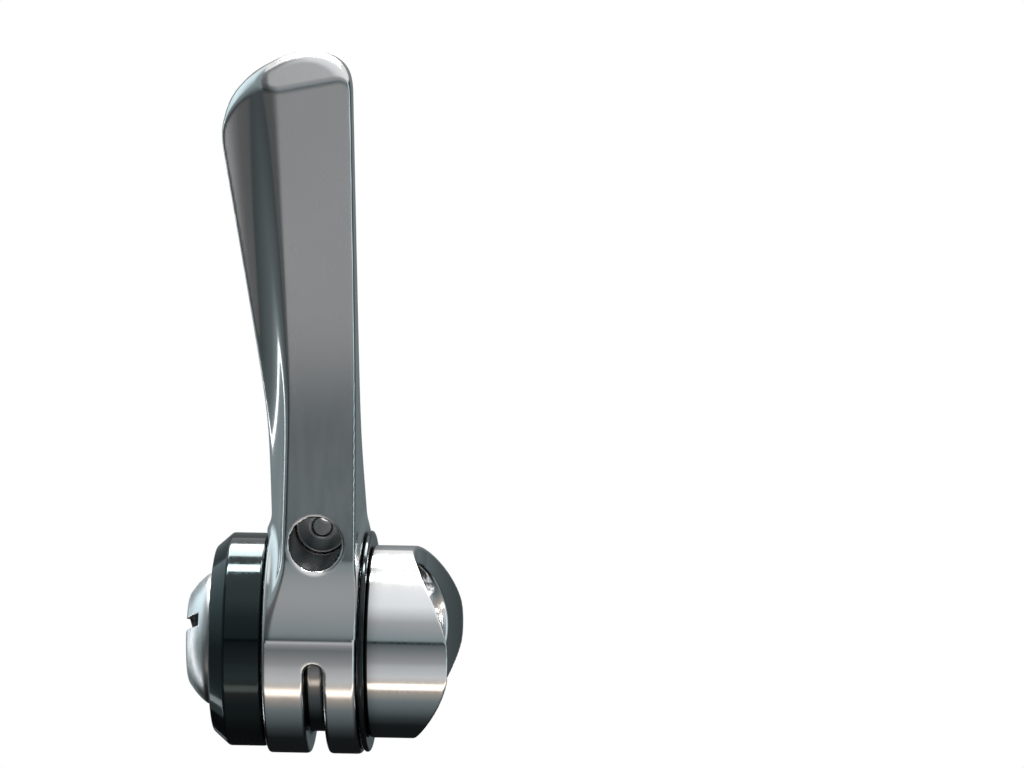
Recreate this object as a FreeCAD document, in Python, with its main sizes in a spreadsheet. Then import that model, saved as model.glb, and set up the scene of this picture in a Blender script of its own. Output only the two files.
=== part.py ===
import FreeCAD, Part
import math
import os
import Sketcher
from FreeCAD import Placement, Rotation, Vector

# Left-hand friction lever for a bicycle down tube.
# Every body is drawn with x outboard along the pivot, y towards the cable hole and z up the lever,
# then turned half round z, so that outboard is -X and the cable hole faces -Y in the shared frame.
# The origin is on the pivot axis, where the saddle is deepest.

SIZES = {
    # Saddle cup
    "tube_radius": 14.3,
    "cup_radius": 10.7,
    "cup_wall": 2.2,
    "cup_depth": 2.2,
    "cup_floor": 2.6,
    "cup_reach": 4.6,
    "cup_edge": 0.3,
    # Pivot sleeve and its square key
    "post_bore_radius": 5.05,
    "sleeve_radius": 5.8,
    "sleeve_flange_thick": 1.2,
    "flange_clearance": 0.2,
    "key_side": 11.8,
    "key_corner": 1.2,
    "key_clearance": 0.05,
    "sleeve_flat": 4.9,
    # Washers of the friction stack
    "back_washer_thick": 0.6,
    "back_washer_step": 0.25,
    "stop_plate_thick": 1.2,
    "stop_plate_radius": 9.0,
    "stop_tab_reach": 10.2,
    "stop_tab_width": 3.0,
    "stop_tab_corner": 0.5,
    "friction_washer_thick": 1.0,
    "pressure_washer_thick": 1.0,
    "washer_radius": 9.0,
    "washer_clearance": 0.2,
    "spring_washer_height": 1.8,
    "spring_washer_thick": 0.7,
    "spring_washer_bore": 6.1,
    # Lever barrel
    "lever_web": 6.6,
    "barrel_radius": 12.55,
    "barrel_rim_in": 0.7,
    "barrel_rim_out": 0.45,
    "lever_bore": 7.0,
    "recess_clearance": 0.4,
    "running_gap": 0.1,
    "swing_deg": 110,
    "stop_clearance": 0.3,
    "stop_slot_depth": 1.6,
    # Bush between lever and sleeve
    "bush_press_gap": 0.02,
    "bush_running_gap": 0.05,
    # Cable groove, nipple seat and cable hole
    "groove_from_face": 5.75,
    "groove_width": 2.1,
    "groove_depth": 2.45,
    "groove_lip": 0.4,
    "groove_start_deg": 4.5,
    "groove_sweep_deg": 214,
    "nipple_height": 13.0,
    "nipple_radius": 2.9,
    "nipple_seat_y": 0.4,
    "cable_radius": 1.0,
    # Lever arm: each long line has two slopes that meet in a soft bend
    "arm_top": 67.4,
    "arm_corner": 0.5,
    "front_root_depth": 1.0,
    "front_at_pivot": 4.26,
    "front_lower_slope": -0.227,
    "front_upper_slope": 0.026,
    "front_softness": 6.0,
    "back_root_depth": 0.4,
    "back_at_pivot": -0.93,
    "back_lower_slope": 0.636,
    "back_upper_slope": 0.064,
    "back_softness": 5.0,
    "inner_inset": 0.3,
    "inner_bend_height": 14.0,
    "inner_lower_slope": 0.0,
    "inner_upper_slope": 0.012,
    "inner_softness": 3.0,
    "edge_inset": 0.15,
    "edge_bend_height": 25.5,
    "edge_lower_slope": 0.0,
    "edge_upper_slope": 0.16,
    "edge_softness": 4.2,
    "edge_thick": 1.3,
    "ridge_inset": 2.3,
    "ridge_bend_height": 29.0,
    "ridge_lower_slope": -0.02,
    "ridge_upper_slope": 0.055,
    "ridge_softness": 4.0,
    "heel_inset": 1.7,
    "heel_bend_height": 22.0,
    "heel_lower_slope": 0.0,
    "heel_upper_slope": 0.15,
    "heel_softness": 4.0,
    "spine_bend_height": 24.0,
    "spine_bend_at": 2.0,
    "spine_lower_slope": 0.16,
    "spine_upper_slope": 0.045,
    "spine_softness": 4.0,
    "facet_hollow": 0.45,
    # Rounded tip of the arm and its bevel
    "shoulder_drop": 4.8,
    "shoulder_radius": 5.5,
    "shoulder_relief": 0.05,
    "crest_x": 13.2,
    "crest_radius": 8,
    "inner_tip_radius": 4.0,
    "bevel_turn_inset": 5.6,
    "bevel_turn_drop": 4.56,
    "bevel_turn_radius": 5.0,
    "bevel_inner_slope": 0.21,
    "bevel_outer_slope": 1.6,
    "bevel_rise": 2.0,
    "bevel_shift": 0.24,
    # Cap ring
    "cap_step": 0.7,
    "cap_web": 4.2,
    "cap_bevel_depth": 2.0,
    "cap_bevel": 2.25,
    "cap_back_edge": 0.4,
    "retainer_well_depth": 1.6,
    "retainer_well_radius": 5.6,
    # Friction bolt and its retainer
    "bolt_head_radius": 7.45,
    "bolt_head_height": 3.0,
    "bolt_head_rim": 0.5,
    "bolt_brow_height": 1.6,
    "bolt_brow_radius": 6.75,
    "bolt_face_radius": 4.8,
    "bolt_dish_radius": 4.45,
    "bolt_dish_depth": 0.35,
    "bolt_slot_width": 1.4,
    "bolt_slot_depth": 1.5,
    "bolt_slot_deg": 58,
    "bolt_shoulder_radius": 3.2,
    "bolt_fit_gap": 0.05,
    "bolt_neck_radius": 2.7,
    "bolt_lip": 0.5,
    "bolt_thread_radius": 2.5,
    "bolt_thread_length": 9.3,
    "retainer_radius": 5.0,
    "retainer_thick": 0.8,
    "retainer_gap": 1.6,
}

# Stations along the pivot, each a sum of the thicknesses that stack up to it
FLANGE_BACK = "cup_depth -sleeve_flange_thick"
SHOULDER = "cup_depth cup_floor"
STOP_BACK = SHOULDER + " back_washer_thick"
BARREL_IN = STOP_BACK + " running_gap"
STOP_TOP = STOP_BACK + " stop_plate_thick"
WEB_IN = STOP_TOP + " friction_washer_thick"
WEB_OUT = WEB_IN + " lever_web"
FLATS_START = WEB_OUT + " friction_washer_thick"
CAP_BACK = FLATS_START + " pressure_washer_thick"
BARREL_OUT = CAP_BACK + " -running_gap"
SPRING_TOP = CAP_BACK + " spring_washer_height"
RETAINER_SEAT = SPRING_TOP + " retainer_well_depth"
CAP_FACE = SPRING_TOP + " cap_web"
HEAD_FACE = CAP_FACE + " bolt_head_height"

GROOVE_X = BARREL_OUT + " -groove_from_face"
RECESS_RADIUS = "washer_radius recess_clearance"
BACK_WASHER_RADIUS = "barrel_radius -back_washer_step"
CAP_RADIUS = "barrel_radius -cap_step"
STOP_SLOT_RADIUS = "stop_tab_reach stop_clearance"
TIP_SHOULDER = "arm_top -shoulder_drop"
OVERRUN = 20.0
ARM_SECTIONS = 9
HALF_TURN = Placement(Vector(), Rotation(Vector(0, 0, 1), 180))

doc = FreeCAD.newDocument("down_tube_shifter")
sheet = doc.addObject("Spreadsheet::Sheet", "sizes")
for row, (alias, size) in enumerate(SIZES.items(), start=1):
    sheet.set(f"A{row}", alias)
    sheet.set(f"B{row}", str(size))
    sheet.setAlias(f"B{row}", alias)
doc.recompute()


# Sums of named sizes, as a number and as a formula

def total(terms):
    amount = 0.0
    for term in terms.split():
        sign = -1 if term.startswith("-") else 1
        amount += sign * sheet.get(term.lstrip("-"))
    return amount


def formula(terms):
    text = "0 mm"
    for term in terms.split():
        sign = "-" if term.startswith("-") else "+"
        text += f" {sign} 1 mm * sizes.{term.lstrip('-')}"
    return text


# Bodies and sketches

def new_body(label):
    body = doc.addObject("PartDesign::Body", label)
    body.Label = label
    return body


def new_sketch(body, role, offset=None):
    sketch = body.newObject("Sketcher::SketchObject", body.Name + "_sketch")
    plane = next(item for item in body.Origin.OriginFeatures if item.Role == role)
    sketch.AttachmentSupport = [(plane, "")]
    sketch.MapMode = "FlatFace"
    if offset:
        sketch.setExpression("AttachmentOffset.Base.z", formula(offset))
    return sketch


def bind(sketch, kind, geometry, point, terms):
    number = sketch.addConstraint(Sketcher.Constraint(kind, geometry, point, total(terms)))
    sketch.setExpression(f"Constraints[{number}]", formula(terms))


def draw_polygon(sketch, corners):
    """Closed polygon whose corners are held at sums of sizes; an empty sum lies on the axis."""
    first = sketch.GeometryCount
    count = len(corners)
    spots = [Vector(total(x), total(y), 0) for x, y in corners]
    for index in range(count):
        sketch.addGeometry(Part.LineSegment(spots[index], spots[(index + 1) % count]), False)
    for index in range(count):
        following = first + (index + 1) % count
        sketch.addConstraint(Sketcher.Constraint("Coincident", first + index, 2, following, 1))
    for index, (x, y) in enumerate(corners):
        bind(sketch, "DistanceX", first + index, 1, x)
        if y:
            bind(sketch, "DistanceY", first + index, 1, y)
        else:
            sketch.addConstraint(Sketcher.Constraint("PointOnObject", first + index, 1, -1))


def draw_circle(sketch, radius, centre_x=""):
    circle = Part.Circle(Vector(total(centre_x), 0, 0), Vector(0, 0, 1), total(radius))
    index = sketch.addGeometry(circle, False)
    sketch.addConstraint(Sketcher.Constraint("PointOnObject", index, 3, -1))
    if centre_x:
        bind(sketch, "DistanceX", index, 3, centre_x)
    else:
        sketch.addConstraint(Sketcher.Constraint("PointOnObject", index, 3, -2))
    number = sketch.addConstraint(Sketcher.Constraint("Radius", index, total(radius)))
    sketch.setExpression(f"Constraints[{number}]", formula(radius))


def draw_rounded(sketch, corners):
    """Closed outline from (x, y, radius) corners; a fourth number hollows the run that follows."""
    starts = []
    count = len(corners)
    for index, (x, y, radius, *_) in enumerate(corners):
        corner = Vector(x, y, 0)
        back = (Vector(*corners[index - 1][:2], 0) - corner).normalize()
        ahead = (Vector(*corners[(index + 1) % count][:2], 0) - corner).normalize()
        if not radius:
            starts.append((corner, corner))
            continue
        half = back.getAngle(ahead) / 2
        run = radius / math.tan(half)
        centre = corner + (back + ahead).normalize() * (radius / math.sin(half))
        entry = corner + back * run
        leave = corner + ahead * run
        angles = [math.atan2(spot.y - centre.y, spot.x - centre.x) for spot in (entry, leave)]
        if back.cross(ahead).z > 0:
            angles.reverse()
        circle = Part.Circle(centre, Vector(0, 0, 1), radius)
        sketch.addGeometry(Part.ArcOfCircle(circle, *angles), False)
        starts.append((entry, leave))
    for index in range(count):
        leave = starts[index][1]
        entry = starts[(index + 1) % count][0]
        if len(corners[index]) > 3:
            along = (entry - leave).normalize()
            middle = (leave + entry) / 2 + Vector(-along.y, along.x, 0) * corners[index][3]
            sketch.addGeometry(Part.Arc(leave, middle, entry), False)
        else:
            sketch.addGeometry(Part.LineSegment(leave, entry), False)


def draw_double_d(sketch, radius, half_flat):
    """Circle with two flats, at y = plus and minus half_flat."""
    rise = math.sqrt(radius ** 2 - half_flat ** 2)
    tilt = math.atan2(half_flat, rise)
    circle = Part.Circle(Vector(), Vector(0, 0, 1), radius)
    sketch.addGeometry(Part.ArcOfCircle(circle, -tilt, tilt), False)
    sketch.addGeometry(Part.ArcOfCircle(circle, math.pi - tilt, math.pi + tilt), False)
    for side in (1, -1):
        ends = Vector(rise, side * half_flat, 0), Vector(-rise, side * half_flat, 0)
        sketch.addGeometry(Part.LineSegment(*ends), False)


# Features

def pad(body, sketch, length):
    feature = body.newObject("PartDesign::Pad", body.Name + "_pad")
    feature.Profile = sketch
    feature.setExpression("Length", formula(length))
    doc.recompute()
    return feature


def revolve(body, sketch):
    feature = body.newObject("PartDesign::Revolution", body.Name + "_turned")
    feature.Profile = sketch
    feature.ReferenceAxis = (sketch, ["H_Axis"])
    doc.recompute()
    return feature


def cut(body, kind, sketch, **settings):
    """Pocket or Groove, which has to take something away."""
    before = body.Shape.Volume
    feature = body.newObject("PartDesign::" + kind, body.Name + "_cut")
    feature.Profile = sketch
    for name, setting in settings.items():
        setattr(feature, name, setting)
    doc.recompute()
    if not feature.Shape.Volume < before:
        raise RuntimeError(f"{feature.Label} cuts nothing")
    return feature


def pocket_through(body, sketch):
    return cut(body, "Pocket", sketch, Type="ThroughAll", Midplane=True)


def pocket_deep(body, sketch, length):
    """Pocket from the sketch plane outboard, to a named depth."""
    feature = cut(body, "Pocket", sketch, Length=total(length), Reversed=True)
    feature.setExpression("Length", formula(length))
    doc.recompute()
    return feature


def finish_body(body):
    body.Placement = HALF_TURN
    doc.recompute()
    return body


def turned_body(label, corners):
    body = new_body(label)
    sketch = new_sketch(body, "XY_Plane")
    draw_polygon(sketch, corners)
    revolve(body, sketch)
    return body


def key_outline(sketch, growth):
    """Square of the key, grown by a clearance on every side."""
    half = total("key_side") / 2 + growth
    corner = total("key_corner")
    draw_rounded(sketch, [(half, half, corner), (-half, half, corner),
                          (-half, -half, corner), (half, -half, corner)])


# Saddle cup, open towards the tube, with a square hole in its floor

def make_base_cup():
    bore = "cup_radius -cup_wall"
    body = turned_body("base_cup", [
        ("-cup_reach", bore), ("-cup_reach", "cup_radius"),
        (SHOULDER + " -cup_edge", "cup_radius"), (SHOULDER, "cup_radius -cup_edge"),
        (SHOULDER, ""), ("cup_depth", ""), ("cup_depth", bore)])
    saddle = new_sketch(body, "XY_Plane")
    draw_circle(saddle, "tube_radius", "-tube_radius")
    pocket_through(body, saddle)
    square = new_sketch(body, "YZ_Plane")
    key_outline(square, total("key_clearance"))
    pocket_through(body, square)
    return finish_body(body)


# Sleeve that carries the lever, with a flange in the cup and flats at its outer end

def make_pivot_sleeve():
    body = new_body("pivot_sleeve")
    square = new_sketch(body, "YZ_Plane", "cup_depth")
    key_outline(square, 0)
    pad(body, square, "cup_floor back_washer_thick stop_plate_thick")
    tube = new_sketch(body, "XY_Plane")
    flange = "cup_radius -cup_wall -flange_clearance"
    draw_polygon(tube, [
        (FLANGE_BACK, ""), (FLANGE_BACK, flange), ("cup_depth", flange),
        ("cup_depth", "sleeve_radius"), (CAP_BACK, "sleeve_radius"), (CAP_BACK, "")])
    revolve(body, tube)
    bore = new_sketch(body, "YZ_Plane")
    draw_circle(bore, "post_bore_radius")
    pocket_through(body, bore)
    flats = new_sketch(body, "YZ_Plane", FLATS_START)
    low, high = total("sleeve_flat"), total("sleeve_radius") + OVERRUN
    for side in (1, -1):
        draw_rounded(flats, [(-high, side * low, 0), (high, side * low, 0),
                             (high, side * high, 0), (-high, side * high, 0)])
    pocket_deep(body, flats, "pressure_washer_thick")
    return finish_body(body)


# Black washer between the cup and the lever, keyed to the sleeve

def make_back_washer():
    body = new_body("back_washer")
    disc = new_sketch(body, "YZ_Plane", SHOULDER)
    draw_circle(disc, BACK_WASHER_RADIUS)
    pad(body, disc, "back_washer_thick")
    square = new_sketch(body, "YZ_Plane")
    key_outline(square, total("key_clearance"))
    pocket_through(body, square)
    return finish_body(body)


# Stop plate, keyed to the sleeve, whose tab runs in the slot of the lever

def make_stop_plate():
    body = new_body("stop_plate")
    disc = new_sketch(body, "YZ_Plane", STOP_BACK)
    draw_circle(disc, "stop_plate_radius")
    pad(body, disc, "stop_plate_thick")
    tab = new_sketch(body, "YZ_Plane", STOP_BACK)
    half, corner = total("stop_tab_width") / 2, total("stop_tab_corner")
    reach, start = total("stop_tab_reach"), total("key_side") / 2
    draw_rounded(tab, [(-half, -start, 0), (-half, -reach, corner),
                       (half, -reach, corner), (half, -start, 0)])
    pad(body, tab, "stop_plate_thick")
    square = new_sketch(body, "YZ_Plane")
    key_outline(square, total("key_clearance"))
    pocket_through(body, square)
    return finish_body(body)


# Plain washers and the bush

def make_ring(label, start, end, inner, outer):
    body = turned_body(label, [(start, inner), (start, outer), (end, outer), (end, inner)])
    return finish_body(body)


def make_friction_washer(label, start, end):
    return make_ring(label, start, end, "sleeve_radius washer_clearance", "washer_radius")


def make_pressure_washer():
    body = new_body("pressure_washer")
    disc = new_sketch(body, "YZ_Plane", FLATS_START)
    draw_circle(disc, "washer_radius")
    pad(body, disc, "pressure_washer_thick")
    hole = new_sketch(body, "YZ_Plane")
    gap = total("key_clearance")
    draw_double_d(hole, total("sleeve_radius") + gap, total("sleeve_flat") + gap)
    pocket_through(body, hole)
    return finish_body(body)


def make_spring_washer():
    body = turned_body("spring_washer", [
        (CAP_BACK, "washer_radius"), (CAP_BACK + " spring_washer_thick", "washer_radius"),
        (SPRING_TOP, "spring_washer_bore"), (SPRING_TOP + " -spring_washer_thick", "spring_washer_bore")])
    return finish_body(body)


# Lever: a forged arm on a barrel with a cable groove

def soft_bend(name, at, rise):
    """Place of a long line above or below its bend: two slopes that meet softly, as on a hyperbola."""
    lower, upper = total(name + "_lower_slope"), total(name + "_upper_slope")
    reach = math.hypot(rise, total(name + "_softness"))
    return at + (lower + upper) / 2 * rise + (upper - lower) / 2 * reach


def bend(height, name, at):
    return soft_bend(name, at, height - total(name + "_bend_height"))


def grazing_bend(height, name, side):
    """Line whose lower run grazes the barrel, and whose upper run starts from the pivot level."""
    lower, upper = total(name + "_lower_slope"), total(name + "_upper_slope")
    start = total(name + "_at_pivot")
    graze = side * total(f"barrel_radius -{name}_root_depth") * math.hypot(1, lower)
    crossing = (graze - start) / (upper - lower)
    return soft_bend(name, start + upper * crossing, height - crossing)


def front_y(height):
    return grazing_bend(height, "front", 1)


def back_y(height):
    return grazing_bend(height, "back", -1)


def inner_x(height):
    return bend(height, "inner", total(BARREL_IN + " inner_inset"))


def edge_x(height):
    return bend(height, "edge", total(BARREL_OUT + " -edge_inset"))


def arm_section(sketch, height):
    """Flat front and back, and two hollow facets that meet at a narrow outboard edge."""
    corner, hollow = total("arm_corner"), total("facet_hollow")
    inner, edge = inner_x(height), edge_x(height)
    front, back = front_y(height), back_y(height)
    ridge = bend(height, "ridge", total(BARREL_OUT + " -ridge_inset"))
    heel = bend(height, "heel", total(BARREL_OUT + " -heel_inset"))
    spine = bend(height, "spine", total("spine_bend_at"))
    half = total("edge_thick") / 2
    draw_rounded(sketch, [
        (inner, front, corner),
        (inner, back, corner),
        (heel, back, 0, hollow),
        (edge, spine - half, 0),
        (edge, spine + half, 0, hollow),
        (ridge, front, 0)])


def loft_arm(body):
    sections = []
    foot = total("barrel_radius") / 2
    step = total("arm_top") / (ARM_SECTIONS - 1)
    for index in range(ARM_SECTIONS):
        height = foot + index * step
        sketch = new_sketch(body, "XY_Plane")
        sketch.AttachmentOffset = Placement(Vector(0, 0, height), Rotation())
        arm_section(sketch, height)
        sections.append(sketch)
    loft = body.newObject("PartDesign::AdditiveLoft", "lever_arm")
    loft.Profile = sections[0]
    loft.Sections = sections[1:]
    doc.recompute()


def trim_tip(body):
    """Takes away what lies beyond the rounded tip."""
    top, shoulder = total("arm_top"), total(TIP_SHOULDER)
    low = shoulder - total("shoulder_radius")
    far_in, far_out, far_up = -OVERRUN, edge_x(top) + OVERRUN, top + OVERRUN
    relief = total("shoulder_relief")
    outline = new_sketch(body, "XZ_Plane")
    draw_rounded(outline, [
        (far_in, low, 0),
        (inner_x(low) - relief, low, 0),
        (inner_x(top) - relief, top, total("inner_tip_radius")),
        (total("crest_x"), top, total("crest_radius")),
        (edge_x(shoulder) + relief, shoulder, total("shoulder_radius")),
        (edge_x(low) + relief, low, 0),
        (far_out, low, 0),
        (far_out, far_up, 0),
        (far_in, far_up, 0)])
    pocket_through(body, outline)


def bevel_tip(body):
    """Bevel round the tip: its lower line slants along the front face and turns down to the shoulder."""
    top = total("arm_top")
    turn_x = edge_x(total(TIP_SHOULDER)) - total("bevel_turn_inset")
    turn_z = top - total("bevel_turn_drop")
    far_in, far_out, far_up = turn_x - OVERRUN, turn_x + OVERRUN, top + OVERRUN
    outline = new_sketch(body, "XZ_Plane")
    outline.AttachmentOffset = Placement(Vector(0, 0, -front_y(top)), Rotation())
    draw_rounded(outline, [
        (far_in, turn_z + total("bevel_inner_slope") * OVERRUN, 0),
        (turn_x, turn_z, total("bevel_turn_radius")),
        (far_out, turn_z - total("bevel_outer_slope") * OVERRUN, 0),
        (far_out, far_up, 0),
        (far_in, far_up, 0)])
    slant = Vector(total("bevel_shift"), -1, total("bevel_rise"))
    cut(body, "Pocket", outline, UseCustomVector=True, Direction=slant, Type="ThroughAll", Midplane=True)


def add_barrel(body):
    sketch = new_sketch(body, "XY_Plane")
    inner, outer, radius = total(BARREL_IN), total(BARREL_OUT), total("barrel_radius")
    draw_rounded(sketch, [(inner, 0, 0), (inner, radius, total("barrel_rim_in")),
                          (outer, radius, total("barrel_rim_out")), (outer, 0, 0)])
    revolve(body, sketch)


def bore_barrel(body):
    sketch = new_sketch(body, "XY_Plane")
    draw_polygon(sketch, [
        (STOP_BACK, ""), (STOP_BACK, RECESS_RADIUS), (WEB_IN, RECESS_RADIUS), (WEB_IN, "lever_bore"),
        (WEB_OUT, "lever_bore"), (WEB_OUT, RECESS_RADIUS), (CAP_BACK, RECESS_RADIUS), (CAP_BACK, "")])
    cut(body, "Groove", sketch, ReferenceAxis=(sketch, ["H_Axis"]))


def cut_cable_groove(body):
    sketch = new_sketch(body, "XY_Plane")
    start = total("groove_start_deg")
    down = Rotation(Vector(1, 0, 0), -start)
    sketch.AttachmentOffset = Placement(Vector(), down)
    middle, half = total(GROOVE_X), total("groove_width") / 2
    rim, lip = total("barrel_radius"), total("groove_lip")
    base = rim - total("groove_depth")
    draw_rounded(sketch, [
        (middle - half - lip * 2, rim + lip, 0), (middle - half, rim - lip, 0),
        (middle - half, base, half / 2), (middle + half, base, half / 2),
        (middle + half, rim - lip, 0), (middle + half + lip * 2, rim + lip, 0)])
    cut(body, "Groove", sketch, ReferenceAxis=(sketch, ["H_Axis"]), Reversed=True,
        Angle=total("groove_sweep_deg"))
    end = body.newObject("PartDesign::SubtractiveCylinder", "lever_groove_end")
    end.Radius = half
    end.Height = total("groove_depth") + OVERRUN
    end.Placement = Placement(down.multVec(Vector(middle, base, 0)), Rotation(Vector(1, 0, 0), -90 - start))
    doc.recompute()


def cut_nipple_seat(body):
    """Stepped hole across the root of the arm: a wide seat in front, a cable hole behind."""
    sketch = new_sketch(body, "YZ_Plane", GROOVE_X)
    height, seat = total("nipple_height"), total("nipple_seat_y")
    wide, narrow = height + total("nipple_radius"), height + total("cable_radius")
    sketch.addGeometry(Part.LineSegment(Vector(-OVERRUN, height, 0), Vector(OVERRUN, height, 0)), True)
    draw_rounded(sketch, [(-OVERRUN, height, 0), (OVERRUN, height, 0), (OVERRUN, wide, 0),
                          (seat, wide, 0), (seat, narrow, 0), (-OVERRUN, narrow, 0)])
    cut(body, "Groove", sketch, ReferenceAxis=(sketch, ["Axis0"]))


def cut_stop_slot(body):
    """Arc slot in the inboard recess: the swing of the lever plus the width of the tab."""
    sketch = new_sketch(body, "YZ_Plane", BARREL_IN)
    low, high = total("stop_plate_radius"), total(STOP_SLOT_RADIUS)
    reach = math.asin((total("stop_tab_width") / 2 + total("stop_clearance")) / low)
    first = -math.pi / 2 - reach
    last = -math.pi / 2 + math.radians(total("swing_deg")) + reach
    for radius in (low, high):
        circle = Part.Circle(Vector(), Vector(0, 0, 1), radius)
        sketch.addGeometry(Part.ArcOfCircle(circle, first, last), False)
    for angle in (first, last):
        ray = Vector(math.cos(angle), math.sin(angle), 0)
        sketch.addGeometry(Part.LineSegment(ray * low, ray * high), False)
    pocket_deep(body, sketch, "stop_slot_depth")


def make_lever():
    body = new_body("lever")
    loft_arm(body)
    trim_tip(body)
    bevel_tip(body)
    add_barrel(body)
    bore_barrel(body)
    cut_cable_groove(body)
    cut_nipple_seat(body)
    cut_stop_slot(body)
    return finish_body(body)


# Black cap ring with a bevelled face and a well for the bolt retainer

def make_cap_ring():
    body = turned_body("cap_ring", [
        (CAP_BACK, RECESS_RADIUS), (CAP_BACK, CAP_RADIUS + " -cap_back_edge"),
        (CAP_BACK + " cap_back_edge", CAP_RADIUS), (CAP_FACE + " -cap_bevel_depth", CAP_RADIUS),
        (CAP_FACE, CAP_RADIUS + " -cap_bevel"), (CAP_FACE, "bolt_shoulder_radius bolt_fit_gap"),
        (RETAINER_SEAT, "bolt_shoulder_radius bolt_fit_gap"), (RETAINER_SEAT, "retainer_well_radius"),
        (SPRING_TOP, "retainer_well_radius"), (SPRING_TOP, RECESS_RADIUS)])
    return finish_body(body)


# Slotted friction bolt and the split ring that keeps it in the cap

def make_friction_bolt():
    neck = RETAINER_SEAT + " -retainer_thick -bolt_fit_gap"
    lip = neck + " -bolt_lip"
    body = turned_body("friction_bolt", [
        (HEAD_FACE + " -bolt_dish_depth", ""), (HEAD_FACE + " -bolt_dish_depth", "bolt_dish_radius"),
        (HEAD_FACE, "bolt_face_radius"), (CAP_FACE + " bolt_brow_height", "bolt_brow_radius"),
        (CAP_FACE + " bolt_head_rim", "bolt_head_radius"), (CAP_FACE, "bolt_head_radius"),
        (CAP_FACE, "bolt_shoulder_radius"),
        (RETAINER_SEAT, "bolt_shoulder_radius"), (RETAINER_SEAT, "bolt_neck_radius"),
        (neck, "bolt_neck_radius"), (neck, "bolt_shoulder_radius"), (lip, "bolt_shoulder_radius"),
        (lip, "bolt_thread_radius"), (lip + " -bolt_thread_length", "bolt_thread_radius"),
        (lip + " -bolt_thread_length", "")])
    slot = new_sketch(body, "YZ_Plane", HEAD_FACE + " -bolt_slot_depth")
    slot.AttachmentOffset = Placement(Vector(), Rotation(Vector(0, 0, 1), -total("bolt_slot_deg")))
    slot.setExpression("AttachmentOffset.Base.z", formula(HEAD_FACE + " -bolt_slot_depth"))
    half, reach = total("bolt_slot_width") / 2, total("bolt_head_radius") + OVERRUN
    draw_rounded(slot, [(-half, -reach, 0), (half, -reach, 0), (half, reach, 0), (-half, reach, 0)])
    pocket_deep(body, slot, "bolt_slot_depth")
    return finish_body(body)


def make_bolt_retainer():
    start = RETAINER_SEAT + " -retainer_thick"
    inner = "bolt_neck_radius bolt_fit_gap"
    body = turned_body("bolt_retainer", [
        (start, inner), (start, "retainer_radius"),
        (RETAINER_SEAT, "retainer_radius"), (RETAINER_SEAT, inner)])
    split = new_sketch(body, "YZ_Plane")
    half, reach = total("retainer_gap") / 2, total("retainer_radius") + OVERRUN
    draw_rounded(split, [(-half, 0, 0), (half, 0, 0), (half, -reach, 0), (-half, -reach, 0)])
    pocket_through(body, split)
    return finish_body(body)


pieces = [
    make_base_cup(),
    make_pivot_sleeve(),
    make_back_washer(),
    make_stop_plate(),
    make_friction_washer("inner_friction_washer", STOP_TOP, WEB_IN),
    make_lever(),
    make_ring("lever_bush", WEB_IN, WEB_OUT,
              "sleeve_radius bush_running_gap", "lever_bore -bush_press_gap"),
    make_friction_washer("outer_friction_washer", WEB_OUT, FLATS_START),
    make_pressure_washer(),
    make_spring_washer(),
    make_cap_ring(),
    make_friction_bolt(),
    make_bolt_retainer(),
]

# Nothing is written unless every object and every solid is sound
for item in doc.Objects:
    if "Invalid" in item.State or "Error" in item.State:
        raise RuntimeError(f"{item.Label} failed: {item.State}")
for piece in pieces:
    if piece.Shape.isNull() or not piece.Shape.isValid() or len(piece.Shape.Solids) != 1:
        raise RuntimeError(f"{piece.Label} is not one sound solid")

os.makedirs("parts", exist_ok=True)
for piece in pieces:
    piece.Shape.exportStep(f"parts/{piece.Label}.step")
    box = piece.Shape.BoundBox
    print(f"{piece.Label:24} volume {piece.Shape.Volume:9.2f}  x {box.XMin:7.2f} {box.XMax:7.2f}"
          f"  z {box.ZMin:7.2f} {box.ZMax:7.2f}")
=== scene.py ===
import math
import bpy
import numpy as np
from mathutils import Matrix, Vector


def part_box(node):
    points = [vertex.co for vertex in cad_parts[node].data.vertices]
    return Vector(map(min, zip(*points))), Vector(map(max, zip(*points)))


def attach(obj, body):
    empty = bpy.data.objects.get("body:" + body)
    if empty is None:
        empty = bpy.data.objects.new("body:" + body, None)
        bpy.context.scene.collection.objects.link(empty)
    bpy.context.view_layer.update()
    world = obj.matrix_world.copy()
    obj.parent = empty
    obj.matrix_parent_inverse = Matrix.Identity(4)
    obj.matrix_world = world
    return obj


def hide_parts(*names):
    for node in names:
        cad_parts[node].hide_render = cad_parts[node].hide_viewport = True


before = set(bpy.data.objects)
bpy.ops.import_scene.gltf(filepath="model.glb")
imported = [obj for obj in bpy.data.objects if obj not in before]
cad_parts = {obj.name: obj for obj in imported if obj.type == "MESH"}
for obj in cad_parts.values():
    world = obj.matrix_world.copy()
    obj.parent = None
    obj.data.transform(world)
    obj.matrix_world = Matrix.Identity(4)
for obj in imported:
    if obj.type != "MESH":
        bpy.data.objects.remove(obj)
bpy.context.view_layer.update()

MM = 0.001

# Shapes are worked out in millimetres, with x outboard along the pivot, y towards the cable hole
# and z up the lever; the half turn about z to the shared frame comes when a mesh is made.


def span(node):
    """Where a node starts and ends along the pivot, counted outboard in millimetres."""
    low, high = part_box(node)
    return -high.x / MM, -low.x / MM


def reach(node):
    """Largest distance of a node from the pivot level, downwards, in millimetres."""
    low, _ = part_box(node)
    return -low.z / MM


# Barrel of the lever

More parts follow.
